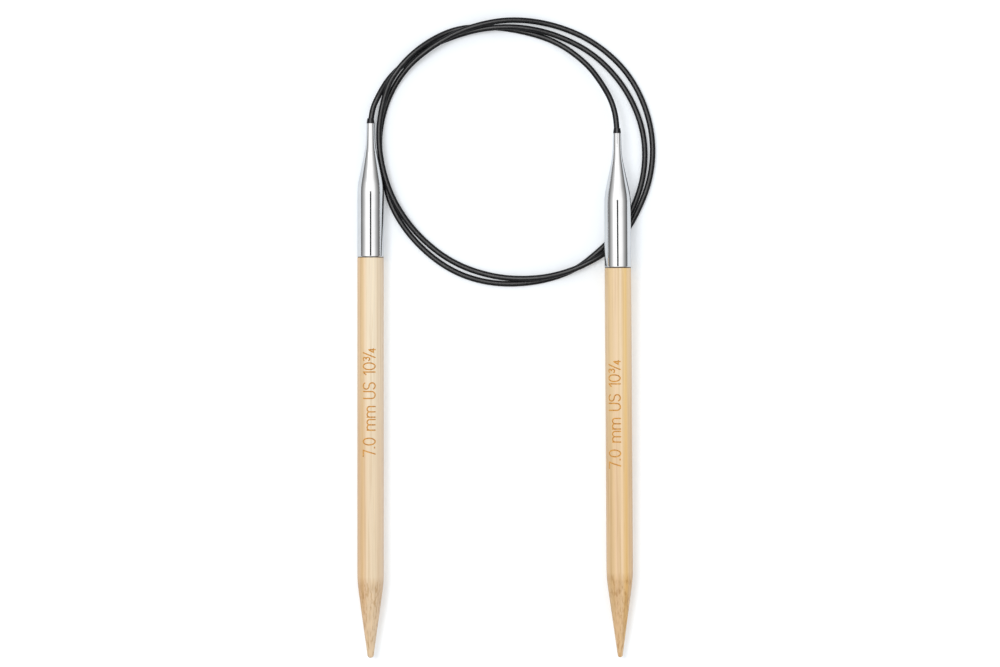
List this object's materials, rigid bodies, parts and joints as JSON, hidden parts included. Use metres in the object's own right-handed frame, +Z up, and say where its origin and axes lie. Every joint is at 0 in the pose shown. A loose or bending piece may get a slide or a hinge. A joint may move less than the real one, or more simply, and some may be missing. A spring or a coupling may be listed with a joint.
{
  "type": "circular knitting needle",
  "caption": "Circular knitting needle: bamboo shafts with hand-ground tips, plated ferrules on swivelling joints, and one thin black cord lying in loose loops.",
  "frame": {"origin": "on the surface the object lies on, below the middle of the box round its two needles, without the cord", "axes": "+Z up off the surface, +Y along the left needle from its tip to its ferrule, +X from the left needle to the right one"},
  "size_m": [0.0789, 0.1694, 0.0089],
  "materials": {
    "plated_metal": "polished",
    "bamboo": "satin lacquer",
    "black_nylon": "satin",
    "crimp_metal": "plain",
    "core_steel": "bright wire"
  },
  "bodies": {
    "cord": {"cord_jacket": "black_nylon", "cord_core": "core_steel", "left_strain_relief": "black_nylon", "right_strain_relief": "black_nylon", "left_crimp_stop": "crimp_metal", "right_crimp_stop": "crimp_metal"},
    "left_needle": {"left_ferrule": "plated_metal", "left_shaft": "bamboo"},
    "right_needle": {"right_ferrule": "plated_metal", "right_shaft": "bamboo"}
  },
  "joints": [
    {"name": "left_swivel", "type": "hinge", "parent": "cord", "child": "left_needle", "pos_m": [-0.0329, 0.07055, 0.0035], "axis": [0, 1, 0], "continuous": true},
    {"name": "right_swivel", "type": "hinge", "parent": "cord", "child": "right_needle", "pos_m": [0.0321, 0.0678, 0.0058], "axis": [-0.007, 0.9998, 0.0201], "continuous": true}
  ]
}
